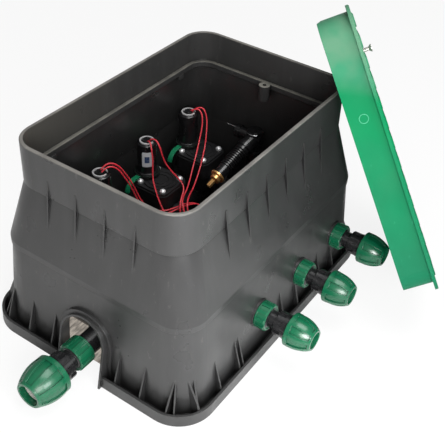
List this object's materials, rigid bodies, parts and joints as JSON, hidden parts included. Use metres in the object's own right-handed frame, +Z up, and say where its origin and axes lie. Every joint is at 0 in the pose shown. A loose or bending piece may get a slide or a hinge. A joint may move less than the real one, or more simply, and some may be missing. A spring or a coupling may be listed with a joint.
{
  "type": "irrigation valve box",
  "caption": "Rectangular plastic valve box with lid, solenoid valves on a common inlet pipe and compression fittings for the outlets.",
  "frame": {"origin": "centre of the box footprint on the ground", "axes": "+X along the box away from the inlet, -Y out through the outlets, +Z up"},
  "size_m": [0.7297, 0.5609, 0.4517],
  "materials": {
    "box_plastic": "satin moulded",
    "lid_plastic": "satin moulded",
    "stainless": "turned",
    "green_fitting": "moulded",
    "white_acetal": "moulded",
    "black_fitting": "moulded",
    "pipe_plastic": "extruded",
    "valve_plastic": "glass filled",
    "bright_ring": "polished",
    "coil_resin": "potted",
    "red_insulation": "smooth",
    "lever_plastic": "moulded",
    "brass": "machined",
    "steel": "plated",
    "seal_rubber": "moulded"
  },
  "bodies": {
    "box": {"bonnet_screws": "steel", "collector": "black_fitting", "diaphragm_spring_1": "steel", "diaphragm_spring_2": "steel", "diaphragm_spring_3": "steel", "flush_riser": "black_fitting", "inlet_body": "black_fitting", "inlet_connector": "black_fitting", "inlet_grip_ring": "white_acetal", "inlet_seal": "seal_rubber", "leads_1": "red_insulation", "leads_2": "red_insulation", "leads_3": "red_insulation", "outlet_body_1": "black_fitting", "outlet_body_2": "black_fitting", "outlet_body_3": "black_fitting", "outlet_grip_rings": "white_acetal", "outlet_pipes": "pipe_plastic", "outlet_seals": "seal_rubber", "plunger_spring_1": "steel", "plunger_spring_2": "steel", "plunger_spring_3": "steel", "solenoid_1": "coil_resin", "solenoid_2": "coil_resin", "solenoid_3": "coil_resin", "solenoid_ring_1": "bright_ring", "solenoid_ring_2": "bright_ring", "solenoid_ring_3": "bright_ring", "valve_body_1": "valve_plastic", "valve_body_2": "valve_plastic", "valve_body_3": "valve_plastic", "valve_bonnet_1": "valve_plastic", "valve_bonnet_2": "valve_plastic", "valve_bonnet_3": "valve_plastic", "valve_box": "box_plastic"},
    "lid": {"lid": "lid_plastic"},
    "lid_bolt": {"lid_bolt": "stainless", "lid_bolt_clip": "stainless"},
    "inlet_ring_nut": {"inlet_ring_nut": "green_fitting"},
    "inlet_nut": {"inlet_nut": "green_fitting"},
    "outlet_ring_nut_1": {"outlet_ring_nut_1": "green_fitting"},
    "outlet_nut_1": {"outlet_nut_1": "green_fitting"},
    "bleed_lever_1": {"bleed_lever_1": "lever_plastic"},
    "diaphragm_1": {"diaphragm_1": "seal_rubber"},
    "plunger_1": {"plunger_1": "steel"},
    "outlet_ring_nut_2": {"outlet_ring_nut_2": "green_fitting"},
    "outlet_nut_2": {"outlet_nut_2": "green_fitting"},
    "bleed_lever_2": {"bleed_lever_2": "lever_plastic"},
    "diaphragm_2": {"diaphragm_2": "seal_rubber"},
    "plunger_2": {"plunger_2": "steel"},
    "outlet_ring_nut_3": {"outlet_ring_nut_3": "green_fitting"},
    "outlet_nut_3": {"outlet_nut_3": "green_fitting"},
    "bleed_lever_3": {"bleed_lever_3": "lever_plastic"},
    "diaphragm_3": {"diaphragm_3": "seal_rubber"},
    "plunger_3": {"plunger_3": "steel"},
    "flush_branch": {"flush_elbow": "black_fitting", "flush_nipple": "black_fitting", "wire_clips": "steel"},
    "brass_plug": {"brass_plug": "brass"}
  },
  "joints": [
    {"name": "lid_lift_off", "type": "slide", "parent": "box", "child": "lid", "axis": [0.5843, -0.8115, 0], "range_m": [0, 0.3]},
    {"name": "lid_bolt_turn", "type": "hinge", "parent": "lid", "child": "lid_bolt", "pos_m": [0.25885, -0.12896, 0.34752], "axis": [0.533, -0.7402, 0.4098], "continuous": true},
    {"name": "inlet_ring_nut_turn", "type": "hinge", "parent": "box", "child": "inlet_ring_nut", "pos_m": [-0.25, 0.0068, 0.036], "axis": [-1, 0, 0], "continuous": true},
    {"name": "inlet_nut_turn", "type": "hinge", "parent": "box", "child": "inlet_nut", "pos_m": [-0.32, 0.0068, 0.036], "axis": [-1, 0, 0], "continuous": true},
    {"name": "outlet_ring_nut_1_turn", "type": "hinge", "parent": "box", "child": "outlet_ring_nut_1", "pos_m": [-0.0595, -0.182, 0.071], "axis": [0, -1, 0], "continuous": true},
    {"name": "outlet_nut_1_turn", "type": "hinge", "parent": "box", "child": "outlet_nut_1", "pos_m": [-0.0595, -0.24, 0.071], "axis": [0, -1, 0], "continuous": true},
    {"name": "bleed_lever_1_turn", "type": "hinge", "parent": "box", "child": "bleed_lever_1", "pos_m": [-0.0595, 0.125, 0.128], "axis": [0, 0, -1], "range_deg": [0, 25]},
    {"name": "diaphragm_1_lift", "type": "slide", "parent": "box", "child": "diaphragm_1", "axis": [0, 0, 1], "range_m": [0, 0.006], "stiffness_N_per_m": 150, "springref_m": -0.004, "deforming": ["diaphragm_spring_1"]},
    {"name": "plunger_1_lift", "type": "slide", "parent": "box", "child": "plunger_1", "axis": [0, 0, 1], "range_m": [0, 0.003], "stiffness_N_per_m": 150, "springref_m": -0.004, "deforming": ["plunger_spring_1"]},
    {"name": "outlet_ring_nut_2_turn", "type": "hinge", "parent": "box", "child": "outlet_ring_nut_2", "pos_m": [0.0525, -0.182, 0.071], "axis": [0, -1, 0], "continuous": true},
    {"name": "outlet_nut_2_turn", "type": "hinge", "parent": "box", "child": "outlet_nut_2", "pos_m": [0.0525, -0.24, 0.071], "axis": [0, -1, 0], "continuous": true},
    {"name": "bleed_lever_2_turn", "type": "hinge", "parent": "box", "child": "bleed_lever_2", "pos_m": [0.0525, 0.125, 0.128], "axis": [0, 0, -1], "range_deg": [0, 25]},
    {"name": "diaphragm_2_lift", "type": "slide", "parent": "box", "child": "diaphragm_2", "axis": [0, 0, 1], "range_m": [0, 0.006], "stiffness_N_per_m": 150, "springref_m": -0.004, "deforming": ["diaphragm_spring_2"]},
    {"name": "plunger_2_lift", "type": "slide", "parent": "box", "child": "plunger_2", "axis": [0, 0, 1], "range_m": [0, 0.003], "stiffness_N_per_m": 150, "springref_m": -0.004, "deforming": ["plunger_spring_2"]},
    {"name": "outlet_ring_nut_3_turn", "type": "hinge", "parent": "box", "child": "outlet_ring_nut_3", "pos_m": [0.1645, -0.182, 0.071], "axis": [0, -1, 0], "continuous": true},
    {"name": "outlet_nut_3_turn", "type": "hinge", "parent": "box", "child": "outlet_nut_3", "pos_m": [0.1645, -0.24, 0.071], "axis": [0, -1, 0], "continuous": true},
    {"name": "bleed_lever_3_turn", "type": "hinge", "parent": "box", "child": "bleed_lever_3", "pos_m": [0.1645, 0.125, 0.128], "axis": [0, 0, -1], "range_deg": [0, 25]},
    {"name": "diaphragm_3_lift", "type": "slide", "parent": "box", "child": "diaphragm_3", "axis": [0, 0, 1], "range_m": [0, 0.006], "stiffness_N_per_m": 150, "springref_m": -0.004, "deforming": ["diaphragm_spring_3"]},
    {"name": "plunger_3_lift", "type": "slide", "parent": "box", "child": "plunger_3", "axis": [0, 0, 1], "range_m": [0, 0.003], "stiffness_N_per_m": 150, "springref_m": -0.004, "deforming": ["plunger_spring_3"]},
    {"name": "flush_branch_swivel", "type": "hinge", "parent": "box", "child": "flush_branch", "pos_m": [0.208, 0.017, 0.158], "axis": [0, 0, 1], "range_deg": [0, 25]},
    {"name": "brass_plug_turn", "type": "hinge", "parent": "flush_branch", "child": "brass_plug", "pos_m": [0.11595, 0.02912, 0.12086], "axis": [-0.9205, 0.1212, -0.3714], "continuous": true}
  ]
}
